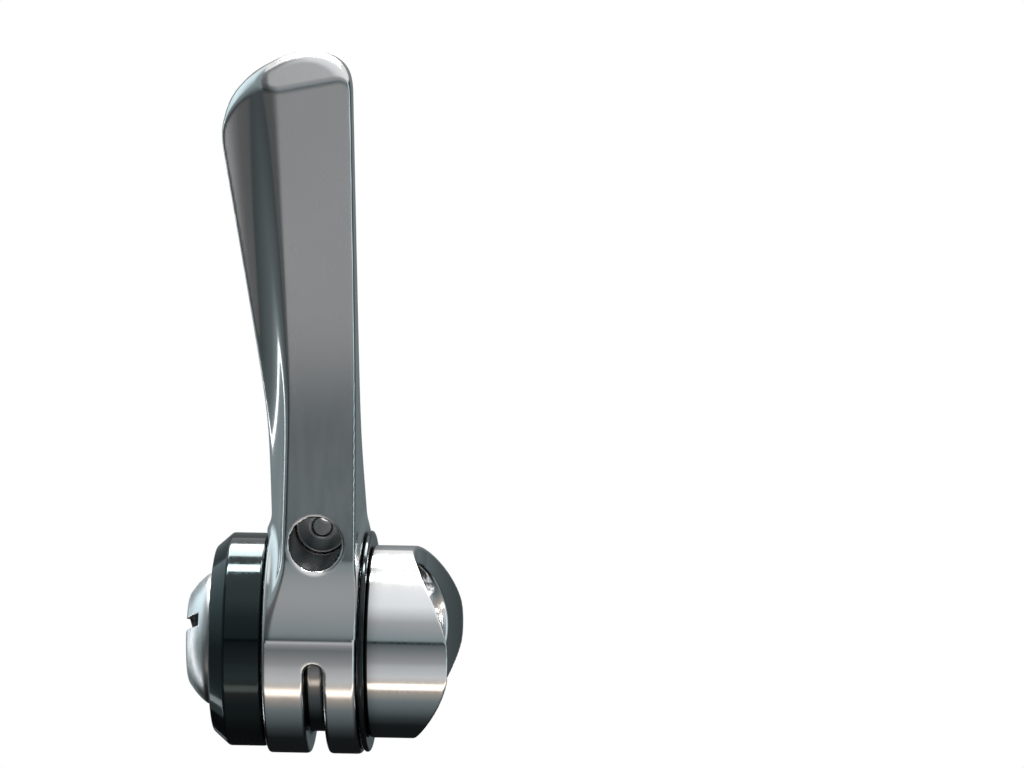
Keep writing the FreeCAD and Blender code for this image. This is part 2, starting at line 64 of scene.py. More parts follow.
SIDE_GAP = 0.1
WASHER_ROOM = 0.4
BARREL_IN = span("back_washer")[1] + SIDE_GAP
BARREL_OUT = span("cap_ring")[0] - SIDE_GAP
BARREL_RADIUS = reach("lever")
BARREL_RIM_IN = 0.7
BARREL_RIM_OUT = 0.45
FACE_ROUND = 0.3
CAP_SEAT_ROUND = 0.2
WEB_IN, WEB_OUT = span("lever_bush")
BORE_RADIUS = reach("lever_bush")
BORE_ROUND = 0.2
RECESS_RADIUS = reach("outer_friction_washer") + WASHER_ROOM

# Cable groove and nipple seat

GROOVE_X = BARREL_OUT - 5.75
GROOVE_WIDTH = 2.1
GROOVE_DEPTH = 2.45
GROOVE_START = math.radians(4.5)
GROOVE_END = math.radians(218.5)
GROOVE_FLOOR_ROUND = 0.6
GROOVE_LIP_ROUND = 0.5
NIPPLE_HEIGHT = 13.0
NIPPLE_RADIUS = 2.9
NIPPLE_SEAT_Y = 0.4
NIPPLE_CHAMFER = 0.15
NIPPLE_SEAT_ROUND = 0.3
NIPPLE_LIP_ROUND = 0.3
CABLE_RADIUS = 1.0
CABLE_LIP_ROUND = 0.4

# Arm of the lever

ARM_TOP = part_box("lever")[1].z / MM
ARM_FOOT = 4.0
ROOT_BLEND = 2.2
EDGE_THICK = 1.3
FACET_HOLLOW = 0.45
RIDGE_ROUND = 0.75
EDGE_ROUND = 0.5
INNER_ROUND = 0.6
HOLLOW_OVERRUN = 0.5
FRONT_LEAN = 0.98
BACK_LEAN = 0.95


def grazing_line(distance, start, lower, upper, softness):
    """Line whose lower run passes at a distance from the pivot; its upper run starts level with it."""
    height = (distance * math.hypot(1, lower) - start) / (upper - lower)
    return height, start + upper * height, lower, upper, softness


# Long lines of the arm: height of the bend, place there, slope below, slope above, softness
FRONT = grazing_line(BARREL_RADIUS - 1.0, 4.26, -0.227, 0.026, 6.0)
BACK = grazing_line(0.4 - BARREL_RADIUS, -0.93, 0.636, 0.064, 5.0)
INNER = (14.0, BARREL_IN + 0.3, 0.0, 0.012, 3.0)
EDGE = (25.5, BARREL_OUT - 0.15, 0.0, 0.16, 4.2)
RIDGE = (29.0, BARREL_OUT - 2.3, -0.02, 0.055, 4.0)
HEEL = (22.0, BARREL_OUT - 1.7, 0.0, 0.15, 4.0)
SPINE = (24.0, 2.0, 0.16, 0.045, 4.0)

# Tip of the arm

CREST_X = 13.2
CREST_ROUND = 1.1
SHOULDER_ROUND = 6.5
CORNER_ROUND = 4.6
TIP_ROUND = 0.25
SHOULDER_HEIGHT = ARM_TOP - 4.8
BEVEL_TURN_INSET = 5.6
BEVEL_TURN_DROP = 4.56
BEVEL_INNER_SLOPE = 0.21
BEVEL_OUTER_SLOPE = 1.6
BEVEL_RISE = 2.0
BEVEL_SHIFT = 0.24
BEVEL_TURN_ROUND = 0.4
BEVEL_BLEND = 1.0


# Fields: negative inside a shape, positive outside

def bend(z, line):
    """Place of a long line of the arm at a height: two straight runs with a soft bend."""
    height, at, lower, upper, softness = line
    rise = z - height
    return at + (lower + upper) / 2 * rise + (upper - lower) / 2 * np.hypot(rise, softness)


def soft_max(a, b, softness):
    """Common part of two shapes, with the corner between them softened."""
    gap = np.maximum(softness - np.abs(a - b), 0) / softness
    return np.maximum(a, b) + gap * gap * softness / 4


def soft_min(a, b, softness):
    """Union of two shapes, with the corner between them filled softly."""
    return -soft_max(-a, -b, softness)


def round_max(a, b, radius):
    """Common part of two shapes, with the edge between them rounded to a radius."""
    u, v = a + radius, b + radius
    return np.hypot(np.maximum(u, 0), np.maximum(v, 0)) + np.minimum(np.maximum(u, v), 0) - radius


def chord_side(x, y, start, end, hollow):
    """Distance outside the curve from start to end, which is hollow between them and runs on past both."""
    run_x, run_y = end[0] - start[0], end[1] - start[1]
    length = np.hypot(run_x, run_y)
    off_x, off_y = x - start[0], y - start[1]
    share = (off_x * run_x + off_y * run_y) / length ** 2
    share = np.clip(share, -HOLLOW_OVERRUN, 1 + HOLLOW_OVERRUN)
    return (run_x * off_y - run_y * off_x) / length + hollow * 4 * share * (1 - share)


def tip_top(x, z):
    """Crest of the tip and the slope from it down to the outboard shoulder."""
    shoulder = (bend(SHOULDER_HEIGHT, EDGE), SHOULDER_HEIGHT)
    slope = chord_side(x, z, (CREST_X, ARM_TOP), shoulder, 0)
    return soft_max(z - ARM_TOP, slope, CREST_ROUND)


def tip_outline(x, z):
    """The crest and the slope with the rounded corners to the two sides of the arm."""
    outboard = soft_max(tip_top(x, z), x - bend(z, EDGE), SHOULDER_ROUND)
    return soft_max(outboard, bend(z, INNER) - x, CORNER_ROUND)


def tip_bevel(x, y, z):
    """Slant round the tip, whose lower line on the front face turns down to the outboard shoulder."""
    behind = bend(ARM_TOP, FRONT) - y
    across = x - BEVEL_SHIFT * behind - bend(SHOULDER_HEIGHT, EDGE) + BEVEL_TURN_INSET
    above = z - BEVEL_RISE * behind - ARM_TOP + BEVEL_TURN_DROP
    lines = []
    for slope in (BEVEL_INNER_SLOPE, BEVEL_OUTER_SLOPE):
        steepness = math.sqrt(1 + slope ** 2 + (BEVEL_RISE + slope * BEVEL_SHIFT) ** 2)
        lines.append((above + slope * across) / steepness)
    return soft_max(*lines, BEVEL_TURN_ROUND)


def arm_field(x, y, z):
    """The arm: flat front, hollow facets each side of a thin outboard edge, and the slanting tip."""
    front, back = bend(z, FRONT), bend(z, BACK)
    ridge, edge, heel, spine = bend(z, RIDGE), bend(z, EDGE), bend(z, HEEL), bend(z, SPINE)
    half = EDGE_THICK / 2
    front_side = (y - front) * FRONT_LEAN
    back_side = (back - y) * BACK_LEAN
    inner_side = bend(z, INNER) - x
    edge_side = x - edge
    front_facet = chord_side(x, y, (ridge, front), (edge, spine + half), FACET_HOLLOW)
    back_facet = chord_side(x, y, (edge, spine - half), (heel, back), FACET_HOLLOW)
    section = soft_max(front_side, front_facet, RIDGE_ROUND)
    section = soft_max(section, edge_side, EDGE_ROUND)
    section = soft_max(section, soft_max(back_side, back_facet, EDGE_ROUND), EDGE_ROUND)
    section = soft_max(section, inner_side, INNER_ROUND)
    tip = soft_max(tip_outline(x, z), tip_bevel(x, y, z), BEVEL_BLEND)
    arm = soft_max(section, tip, TIP_ROUND)
    return np.maximum(arm, ARM_FOOT - z)


def groove_field(x, y, z):
    """Cable groove round the barrel, with a round end on the front."""
    angle = np.mod(np.arctan2(-z, y) + math.pi / 2, 2 * math.pi) - math.pi / 2
    radius = np.hypot(y, z)
    short = np.maximum(GROOVE_START - angle, 0) * BARREL_RADIUS
    past = np.maximum(angle - GROOVE_END, 0) * BARREL_RADIUS
    across = np.hypot(x - GROOVE_X, short + past) - GROOVE_WIDTH / 2
    return soft_max(across, BARREL_RADIUS - GROOVE_DEPTH - radius, GROOVE_FLOOR_ROUND)


def nipple_field(x, y, z):
    """Seat of the cable's nipple, open to the front, and the cable hole through its floor."""
    radius = np.hypot(x - GROOVE_X, z - NIPPLE_HEIGHT)
    flare = np.clip(y - bend(z, FRONT) + NIPPLE_CHAMFER, 0, None)
    seat = soft_max(radius - NIPPLE_RADIUS - flare, NIPPLE_SEAT_Y - y, NIPPLE_SEAT_ROUND)
    return soft_min(seat, radius - CABLE_RADIUS, CABLE_LIP_ROUND)


def barrel_bore_field(x, y, z):
    """Recesses from both sides of the barrel and the bore through the web between them."""
    radius = np.hypot(y, z)
    inboard = np.maximum(radius - RECESS_RADIUS, x - WEB_IN)
    outboard = np.maximum(radius - RECESS_RADIUS, WEB_OUT - x)
    return np.minimum(np.minimum(inboard, outboard), radius - BORE_RADIUS)


def lever_field(x, y, z):
    """The arm joined to the barrel, with the groove, the nipple seat and the bores cut out."""
    radius = np.hypot(y, z)
    barrel = round_max(radius - BARREL_RADIUS, x - BARREL_OUT, BARREL_RIM_OUT)
    barrel = round_max(barrel, BARREL_IN - x, BARREL_RIM_IN)
    body = soft_min(arm_field(x, y, z), barrel, ROOT_BLEND)
    cap_room = np.maximum(BARREL_OUT - x, radius - BARREL_RADIUS)
    body = soft_max(body, -cap_room, CAP_SEAT_ROUND)
    body = soft_max(body, BARREL_IN - x, FACE_ROUND)
    body = soft_max(body, -groove_field(x, y, z), GROOVE_LIP_ROUND)
    body = soft_max(body, -nipple_field(x, y, z), NIPPLE_LIP_ROUND)
    return soft_max(body, -barrel_bore_field(x, y, z), BORE_ROUND)


# Saddle cup

CUP_IN, CUP_OUT = span("base_cup")
CUP_RADIUS = reach("base_cup")
CUP_WALL = 2.2
CUP_DEPTH = 2.2
CUP_ROUND = 0.35
CUP_FLOOR_ROUND = 0.4
CUP_LIP_ROUND = 0.2
TUBE_RADIUS = 14.3
SADDLE_ROUND = 0.35
KEY_HALF = 5.95
KEY_CORNER = 1.2
KEY_ROUND = 0.15


def cup_field(x, y, z):
    """Cup with a wall and a floor, a saddle cut by the down tube and a square key hole."""
    radius = np.hypot(y, z)
    body = round_max(radius - CUP_RADIUS, x - CUP_OUT, CUP_ROUND)
    body = round_max(body, CUP_IN - x, CUP_ROUND)
    inside = round_max(radius - (CUP_RADIUS - CUP_WALL), x - CUP_DEPTH, CUP_FLOOR_ROUND)
    tube = np.hypot(x + TUBE_RADIUS, y) - TUBE_RADIUS
    square = np.maximum(np.abs(y), np.abs(z)) - KEY_HALF
    round_square = np.hypot(np.maximum(np.abs(y) - KEY_HALF + KEY_CORNER, 0),
                            np.maximum(np.abs(z) - KEY_HALF + KEY_CORNER, 0)) - KEY_CORNER
    key = np.maximum(square, round_square)
    body = soft_max(body, -inside, CUP_LIP_ROUND)
    body = soft_max(body, -tube, SADDLE_ROUND)
    return soft_max(body, -key, KEY_ROUND)


# Friction bolt

BOLT_IN, BOLT_OUT = span("friction_bolt")
BOLT_RADIUS = reach("friction_bolt")
HEAD_BACK = span("cap_ring")[1]
HEAD_RIM = 0.5
HEAD_BACK_ROUND = 0.25
HEAD_RIM_ROUND = 0.4
BROW_HEIGHT = 1.6
BROW_RADIUS = 6.75
BROW_ROUND = 0.5
BOLT_FACE_RADIUS = 4.8
BOLT_FACE_ROUND = 0.3
DISH_RADIUS = 4.45
DISH_DEPTH = 0.35
DISH_FLOOR_ROUND = 0.2
FINE_ROUND = 0.15
SLOT_WIDTH = 1.4
SLOT_DEPTH = 1.5
SLOT_TILT = math.radians(-58)
SHANK_RADIUS = 3.2
THREAD_RADIUS = 2.5
THREAD_END = BOLT_IN + 9.3
NECK_RADIUS = 2.7
NECK_IN, NECK_OUT = span("bolt_retainer")
FIT_GAP = 0.05


def cone_side(x, radius, start, end):
    """Distance outside a cone whose outline runs from start to end, each an (x, radius) pair."""
    run, rise = end[0] - start[0], end[1] - start[1]
    return ((radius - start[1]) * run - (x - start[0]) * rise) / math.hypot(run, rise)


def bolt_field(x, y, z):
    """Bolt with a head of two cones, a dished face and a slot, a shank with a neck, and a thread."""
    radius = np.hypot(y, z)
    rim, brow = (HEAD_BACK + HEAD_RIM, BOLT_RADIUS), (HEAD_BACK + BROW_HEIGHT, BROW_RADIUS)
    head = round_max(radius - BOLT_RADIUS, HEAD_BACK - x, HEAD_BACK_ROUND)
    cones = soft_max(cone_side(x, radius, rim, brow),
                     cone_side(x, radius, brow, (BOLT_OUT, BOLT_FACE_RADIUS)), BROW_ROUND)
    head = soft_max(soft_max(head, cones, HEAD_RIM_ROUND), x - BOLT_OUT, BOLT_FACE_ROUND)
    dish = soft_max(radius - DISH_RADIUS, BOLT_OUT - DISH_DEPTH - x, DISH_FLOOR_ROUND)
    head = soft_max(head, -dish, FINE_ROUND)
    shank = np.maximum(radius - SHANK_RADIUS, np.maximum(THREAD_END - x, x - HEAD_BACK - HEAD_RIM))
    neck = np.maximum(NECK_RADIUS - radius, np.maximum(NECK_IN - FIT_GAP - x, x - NECK_OUT))
    thread = np.maximum(radius - THREAD_RADIUS, np.maximum(BOLT_IN - x, x - HEAD_BACK))
    body = np.minimum(np.minimum(head, np.maximum(shank, -neck)), thread)
    across = np.abs(y * math.cos(SLOT_TILT) + z * math.sin(SLOT_TILT)) - SLOT_WIDTH / 2
    slot = np.maximum(across, BOLT_OUT - SLOT_DEPTH - x)
    return soft_max(body, -slot, FINE_ROUND)


# Cap ring and back washer

RING_BEVEL = 1.6
RING_BEVEL_DEPTH = 1.8
RING_BACK_ROUND = 0.45
RING_SHOULDER_ROUND = 0.6
RING_FACE_ROUND = 0.5
RETAINER_WELL_RADIUS = 5.6
WASHER_BORE_RADIUS = KEY_HALF * 1.25
WASHER_ROUND = 0.3


def ring_profile():
    """Corners of the ring as (x, radius, rounding), in order round the section."""
    back, face = span("cap_ring")
    outer = reach("cap_ring")
    bore = SHANK_RADIUS + FIT_GAP
    spring_top = span("spring_washer")[1]
    seat = span("bolt_retainer")[1]
    return [
        (back, RECESS_RADIUS, 0),
        (back, outer, RING_BACK_ROUND),
        (face - RING_BEVEL_DEPTH, outer, RING_SHOULDER_ROUND),
        (face, outer - RING_BEVEL, RING_FACE_ROUND),
        (face, bore, 0),
        (seat, bore, 0),
        (seat, RETAINER_WELL_RADIUS, 0),
        (spring_top, RETAINER_WELL_RADIUS, 0),
        (spring_top, RECESS_RADIUS, 0)]


def washer_profile():
    """Corners of the back washer as (x, radius, rounding)."""
    back, face = span("back_washer")
    outer = reach("back_washer")
    return [
        (back, WASHER_BORE_RADIUS, 0),
        (back, outer, WASHER_ROUND),
        (face, outer, WASHER_ROUND),
        (face, WASHER_BORE_RADIUS, 0)]


def rounded_outline(corners, steps=6):
    """Points of a closed outline whose corners are rounded, and the outward normal of each point."""
    points = []
    count = len(corners)
    for index, (x, r, radius) in enumerate(corners):
        corner = np.array([x, r])
        back = np.array(corners[index - 1][:2]) - corner
        ahead = np.array(corners[(index + 1) % count][:2]) - corner
        back, ahead = back / np.linalg.norm(back), ahead / np.linalg.norm(ahead)
        sides = [np.array([back[1], -back[0]]), np.array([-ahead[1], ahead[0]])]
        if not radius:
            points += [(corner, side) for side in sides]
            continue
        half = math.acos(np.clip(back @ ahead, -1, 1)) / 2
        middle = (back + ahead) / np.linalg.norm(back + ahead)
        centre = corner + middle * radius / math.sin(half)
        for step in range(steps + 1):
            normal = sides[0] * (1 - step / steps) + sides[1] * step / steps
            normal = normal / np.linalg.norm(normal)
            points.append((centre + normal * radius, normal))
    return points


def lathe(name, corners, turns=128):
    """Turned piece round the pivot, with the normals of its outline."""
    outline = rounded_outline(corners)
    angles = np.arange(turns) * 2 * math.pi / turns
    points, normals = [], []
    for (x, r), (nx, nr) in outline:
        for angle in angles:
            points.append((x, r * math.cos(angle), r * math.sin(angle)))
            normals.append((nx, nr * math.cos(angle), nr * math.sin(angle)))
    faces = []
    count = len(outline)
    for i in range(count):
        following = (i + 1) % count
        if np.allclose(outline[i][0], outline[following][0]):
            continue
        for j in range(turns):
            k = (j + 1) % turns
            faces.append((i * turns + j, i * turns + k, following * turns + k, following * turns + j))
    return make_mesh(name, np.array(points), faces, np.array(normals))


# Meshes from fields

def field_mesh(name, field, low, high, cell):
    """Closed mesh of the surface where the field is zero, one corner to each cell that it crosses."""
    axes = [np.arange(low[i] - 2 * cell, high[i] + 3 * cell, cell) for i in range(3)]
    values = field(axes[0][:, None, None], axes[1][None, :, None], axes[2][None, None, :])
    inside = values < 0
    shape = np.array(values.shape)
    stride = np.array([shape[1] * shape[2], shape[2], 1])
    sums = np.zeros((values.size, 3))
    counts = np.zeros(values.size)
    quads = []
    for axis in range(3):
        ahead = [slice(None)] * 3
        behind = [slice(None)] * 3
        behind[axis] = slice(0, -1)
        ahead[axis] = slice(1, None)
        first, second = values[tuple(behind)], values[tuple(ahead)]
        spots = np.argwhere(inside[tuple(behind)] != inside[tuple(ahead)])
        a, b = first[tuple(spots.T)], second[tuple(spots.T)]
        points = spots.astype(float)
        points[:, axis] += a / (a - b)
        others = [(axis + 1) % 3, (axis + 2) % 3]
        base = spots @ stride
        around = [base - u * stride[others[0]] - v * stride[others[1]]
                  for u, v in ((0, 0), (1, 0), (1, 1), (0, 1))]
        for cells in around:
            for column in range(3):
                sums[:, column] += np.bincount(cells, points[:, column], values.size)
            counts += np.bincount(cells, minlength=values.size)
        quad = np.stack(around, 1)
        outward = a < 0
        quads.append(np.where(outward[:, None], quad, quad[:, ::-1]))
    used = np.flatnonzero(counts)
    lookup = np.full(values.size, -1)
    lookup[used] = np.arange(len(used))
    starts = np.array([axis[0] for axis in axes])
    points = starts + sums[used] / counts[used, None] * cell
    points, normals = settle(field, points, cell)
    return make_mesh(name, points, lookup[np.concatenate(quads)], normals)


def slopes(field, points, step=0.01):
    """How fast the field rises along x, y and z at each point."""
    parts = []
    for axis in range(3):
        offset = np.zeros(3)
        offset[axis] = step
        parts.append(field(*(points + offset).T) - field(*(points - offset).T))
    return np.stack(parts, 1) / (2 * step)


def settle(field, points, cell, passes=4, least_steepness=0.05):
    """Moves the points onto the surface and gives its normals there."""
    for _ in range(passes):
        slope = slopes(field, points)
        steepness = np.maximum((slope ** 2).sum(1), least_steepness)
        move = (field(*points.T) / steepness)[:, None] * slope
        points = points - np.clip(move, -cell / 2, cell / 2)
    slope = slopes(field, points)
    return points, slope / np.maximum(np.linalg.norm(slope, axis=1), 1e-9)[:, None]


def make_mesh(name, points, faces, normals):
    """Mesh object in the shared frame: half a turn about z, and millimetres to metres."""
    turn = np.array([-1.0, -1.0, 1.0])
    mesh = bpy.data.meshes.new(name)
    mesh.from_pydata((points * turn * MM).tolist(), [], np.asarray(faces).tolist())
    mesh.polygons.foreach_set("use_smooth", [True] * len(mesh.polygons))
    mesh.normals_split_custom_set_from_vertices((normals * turn).tolist())
    piece = bpy.data.objects.new(name, mesh)
    bpy.context.scene.collection.objects.link(piece)
    return piece


def stand_for(piece, node, body):
    """Puts a piece in place of a node, on its body, and hides the node."""
    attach(piece, body)
    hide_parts(node)


# Materials, whose texture coordinates are in metres, so that the scales are large

NOISE_LOW, NOISE_HIGH = 0.3, 0.7
FINE_RELIEF = 0.00002
# Painted shade: ambient occlusion between these two levels darkens a colour in crevices and hollows, down
# to the tone below
OPEN_CREVICE, SHUT_CREVICE = 0.9, 0.25
CREVICE_SHADE_TONE = 0.12
WEAR_REACH = 0.00035
WEAR_START, WEAR_FULL = 0.99, 0.85
WEAR_DULLING = 0.08
WEAR_LEAST = 0.2
WEAR_LIGHTER = 1.15
SATIN_FROM, SATIN_FULL = 0.010, 0.017
SATIN_ROUGHNESS = 0.12
FRONT_FROM, FRONT_FULL = -0.94, -0.99


def new_material(name):
    material = bpy.data.materials.new(name)
    material.use_nodes = True
    tree = material.node_tree
    return material, tree, tree.nodes["Principled BSDF"]


def noise(tree, scale, detail=3.0, stretch=(1, 1, 1)):
    """Noise in the coordinates of the piece."""
    coordinates = tree.nodes.new("ShaderNodeTexCoord")
    mapping = tree.nodes.new("ShaderNodeMapping")
    mapping.inputs["Scale"].default_value = stretch
    texture = tree.nodes.new("ShaderNodeTexNoise")
    texture.inputs["Scale"].default_value = scale
    texture.inputs["Detail"].default_value = detail
    tree.links.new(coordinates.outputs["Object"], mapping.inputs["Vector"])
    tree.links.new(mapping.outputs["Vector"], texture.inputs["Vector"])
    return texture.outputs["Fac"]


def map_range(tree, source, low, high, at_low, at_high):
    """Maps a value from one range to another and holds it there."""
    node = tree.nodes.new("ShaderNodeMapRange")
    node.inputs["From Min"].default_value = low
    node.inputs["From Max"].default_value = high
    node.inputs["To Min"].default_value = at_low
    node.inputs["To Max"].default_value = at_high
    tree.links.new(source, node.inputs["Value"])
    return node.outputs["Result"]


def spread(tree, source, low, high):
    """Maps a noise to a range of numbers."""
    return map_range(tree, source, NOISE_LOW, NOISE_HIGH, low, high)


def combine(tree, operation, first, second):
    """One sum on two values, such as ADD or MULTIPLY."""
    node = tree.nodes.new("ShaderNodeMath")
    node.operation = operation
    tree.links.new(first, node.inputs[0])
    tree.links.new(second, node.inputs[1])
    return node.outputs["Value"]


def colour_mix(tree, blend="MIX"):
    node = tree.nodes.new("ShaderNodeMix")
    node.data_type = "RGBA"
    node.blend_type = blend
    return node


def tint_between(tree, source, dark, light):
    """Colour that follows a noise from a dark one to a light one."""
    node = colour_mix(tree)
    node.inputs["A"].default_value = (*dark, 1)
    node.inputs["B"].default_value = (*light, 1)
    tree.links.new(source, node.inputs["Factor"])
    return node.outputs["Result"]


def paint_crevice_shade(tree, colour, distance):
    """Paints shade into a colour where walls within a distance shut out the light."""
    shade = tree.nodes.new("ShaderNodeAmbientOcclusion")
    shade.inputs["Distance"].default_value = distance
    level = map_range(tree, shade.outputs["AO"], SHUT_CREVICE, OPEN_CREVICE, CREVICE_SHADE_TONE, 1.0)
    node = colour_mix(tree, "MULTIPLY")
    node.inputs["Factor"].default_value = 1.0
    tree.links.new(colour, node.inputs["A"])
    tree.links.new(level, node.inputs["B"])
    return node.outputs["Result"]


def along(tree, output, axis):
    """One component of a texture coordinate of the piece."""
    coordinates = tree.nodes.new("ShaderNodeTexCoord")
    split = tree.nodes.new("ShaderNodeSeparateXYZ")
    tree.links.new(coordinates.outputs[output], split.inputs["Vector"])
    return split.outputs[axis]


def wear_edges(tree, shader, colour, worn, roughness):
    """Lightens the colour and dulls the polish along edges, where a rounded normal leaves the true one."""
    rounded = tree.nodes.new("ShaderNodeBevel")
    rounded.inputs["Radius"].default_value = WEAR_REACH
    surface = tree.nodes.new("ShaderNodeNewGeometry")
    agree = tree.nodes.new("ShaderNodeVectorMath")
    agree.operation = "DOT_PRODUCT"
    tree.links.new(rounded.outputs["Normal"], agree.inputs[0])
    tree.links.new(surface.outputs["Normal"], agree.inputs[1])
    edge = map_range(tree, agree.outputs["Value"], WEAR_START, WEAR_FULL, 0.0, 1.0)
    patchy = combine(tree, "MULTIPLY", edge, spread(tree, noise(tree, scale=600), WEAR_LEAST, 1.0))
    node = colour_mix(tree)
    node.inputs["B"].default_value = (*worn, 1)
    tree.links.new(patchy, node.inputs["Factor"])
    tree.links.new(colour, node.inputs["A"])
    tree.links.new(node.outputs["Result"], shader.inputs["Base Color"])
    dulled = map_range(tree, patchy, 0.0, 1.0, 0.0, WEAR_DULLING)
    tree.links.new(combine(tree, "ADD", roughness, dulled), shader.inputs["Roughness"])


def bump(tree, source, shader, strength):
    node = tree.nodes.new("ShaderNodeBump")
    node.inputs["Strength"].default_value = strength
    node.inputs["Distance"].default_value = FINE_RELIEF
    tree.links.new(source, node.inputs["Height"])
    tree.links.new(node.outputs["Normal"], shader.inputs["Normal"])


def polished_alloy():
    """Polished forging with a grain along the arm, a little duller on the front face above the barrel."""
    material, tree, shader = new_material("polished_alloy")
    shader.inputs["Metallic"].default_value = 1.0
    blotch = noise(tree, scale=90, detail=4)
    grain = noise(tree, scale=900, detail=2, stretch=(1, 1, 0.12))
    tint = tint_between(tree, blotch, (0.64, 0.645, 0.65), (0.74, 0.735, 0.73))
    height = along(tree, "Object", "Z")
    high_up = map_range(tree, height, SATIN_FROM, SATIN_FULL, 0.0, SATIN_ROUGHNESS)
    facing = map_range(tree, along(tree, "Normal", "Y"), FRONT_FROM, FRONT_FULL, 0.0, 1.0)
    satin = combine(tree, "MULTIPLY", high_up, facing)
    roughness = combine(tree, "ADD", spread(tree, grain, 0.12, 0.16), satin)
    # Painted shade in the groove, the nipple seat and other hollows of the lever
    colour = paint_crevice_shade(tree, tint, distance=0.004)
    wear_edges(tree, shader, colour, worn=(0.8, 0.8, 0.79), roughness=roughness)
    bump(tree, grain, shader, 0.1)
    return material


def turned_chrome(name, rough_low, rough_high):
    """Plated piece with fine rings from the lathe."""
    material, tree, shader = new_material(name)
    shader.inputs["Metallic"].default_value = 1.0
    rings = noise(tree, scale=500, detail=2, stretch=(6, 0.4, 0.4))
    blotch = noise(tree, scale=120)
    tint = tint_between(tree, blotch, (0.74, 0.75, 0.76), (0.84, 0.84, 0.84))
    roughness = spread(tree, rings, rough_low, rough_high)
    # Painted shade in hollows and where walls close in on the plated pieces
    colour = paint_crevice_shade(tree, tint, distance=0.003)
    wear_edges(tree, shader, colour, worn=(0.88, 0.87, 0.85), roughness=roughness)
    bump(tree, rings, shader, 0.08)
    return material


def gloss_black():
    """Glossy plastic with cool reflections."""
    material, tree, shader = new_material("gloss_black")
    shader.inputs["IOR"].default_value = 1.45
    shader.inputs["Specular Tint"].default_value = (0.7, 0.96, 1.0, 1)
    blotch = noise(tree, scale=150)
    grain = noise(tree, scale=1500, detail=2)
    tint = tint_between(tree, blotch, (0.002, 0.003, 0.003), (0.005, 0.006, 0.006))
    wear_edges(tree, shader, tint, (0.03, 0.03, 0.03), spread(tree, grain, 0.06, 0.12))
    bump(tree, grain, shader, 0.03)
    return material


def plain_material(name, dark, light, metallic, rough_low, rough_high):
    """Material of an inner piece, with lighter edges."""
    material, tree, shader = new_material(name)
    shader.inputs["Metallic"].default_value = metallic
    blotch = noise(tree, scale=200)
    grain = noise(tree, scale=1200, detail=2)
    worn = [part * WEAR_LIGHTER for part in light]
    tint = tint_between(tree, blotch, dark, light)
    wear_edges(tree, shader, tint, worn, spread(tree, grain, rough_low, rough_high))
    bump(tree, grain, shader, 0.1)
    return material


def paint(piece, material):
    piece.data.materials.clear()
    piece.data.materials.append(material)


ALLOY = polished_alloy()
CHROME = turned_chrome("turned_chrome", 0.07, 0.13)
PLATED = turned_chrome("plated_bolt", 0.26, 0.34)
BLACK = gloss_black()
STEEL = plain_material("turned_steel", (0.42, 0.42, 0.43), (0.55, 0.55, 0.56), 1.0, 0.25, 0.4)
NYLON = plain_material("nylon", (0.68, 0.67, 0.62), (0.78, 0.77, 0.72), 0.0, 0.4, 0.55)
BRONZE = plain_material("bronze", (0.5, 0.36, 0.18), (0.62, 0.46, 0.26), 1.0, 0.25, 0.4)

NODE_MATERIALS = {
    "base_cup": CHROME,
    "friction_bolt": PLATED,
    "cap_ring": BLACK,
    "back_washer": BLACK,
    "pivot_sleeve": STEEL,
    "stop_plate": STEEL,
    "pressure_washer": STEEL,
    "spring_washer": STEEL,
    "bolt_retainer": STEEL,
    "inner_friction_washer": NYLON,
    "outer_friction_washer": NYLON,
    "lever_bush": BRONZE,
    "lever": ALLOY,
}
for node, material in NODE_MATERIALS.items():
    paint(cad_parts[node], material)

# Pieces that stand for solids

LEVER_CELL = 0.24
CUP_CELL = 0.16
BOLT_CELL = 0.12


def field_box(node):
    """Corners of a node's box in the millimetres that the fields use."""
    low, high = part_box(node)
    return (-high.x / MM, -high.y / MM, low.z / MM), (-low.x / MM, -low.y / MM, high.z / MM)


lever = field_mesh("lever_forging", lever_field, *field_box("lever"), LEVER_CELL)
paint(lever, ALLOY)
stand_for(lever, "lever", "lever")

cup = field_mesh("saddle_cup", cup_field, *field_box("base_cup"), CUP_CELL)
paint(cup, CHROME)
stand_for(cup, "base_cup", "base")

bolt = field_mesh("friction_bolt_turned", bolt_field, *field_box("friction_bolt"), BOLT_CELL)
paint(bolt, PLATED)
stand_for(bolt, "friction_bolt", "bolt")

ring = lathe("cap_ring_turned", ring_profile())
paint(ring, BLACK)
stand_for(ring, "cap_ring", "base")

washer = lathe("back_washer_turned", washer_profile())
paint(washer, BLACK)
stand_for(washer, "back_washer", "base")

# Stage: a white world and a room light, and sheets and softboxes that only reflections see

WORLD_LIGHT = 0.7
WORLD_WHITE = 1.0
WRAP_RADIUS = 0.7
CARD_DISTANCE = 0.6
STRIP_DISTANCE = 0.59
LAMP_DISTANCE = 0.6
LAMP_WIDTH = 0.5

# Angle from the front horizon, upwards or down and round to the back, then brightness and tint:
# wall, camera, table, strip light, shade under the object, and the far table
COOL = (0.82, 1.0, 1.06)
PALE = (0.97, 1.0, 1.02)
WARM = (1.1, 0.97, 0.85)
WRAP_TONES = [
    (78, 1.0, PALE), (56, 0.92, PALE), (36, 0.42, PALE), (14.2, 0.3, COOL), (13.2, 0.02, COOL),
    (10.8, 0.02, COOL), (10.0, 0.13, COOL), (-9, 0.33, PALE), (-12, 0.36, PALE),
    (-15.5, 0.49, PALE), (-29, 0.66, PALE), (-37, 0.55, WARM), (-39, 2.0, WARM), (-44, 2.0, WARM),
    (-47, 0.4, WARM), (-62, 0.2, COOL), (-90, 0.05, COOL), (-105, 0.012, COOL), (-150, 0.01, COOL),
    (-160, 0.08, COOL), (-170, 0.2, COOL), (-205, 0.35, PALE)]

# Places along the pivot and the share of the brightness there
WRAP_COLUMNS = [(-0.9, 0.25), (-0.3, 0.25), (-0.17, 1.0), (0.9, 1.0)]

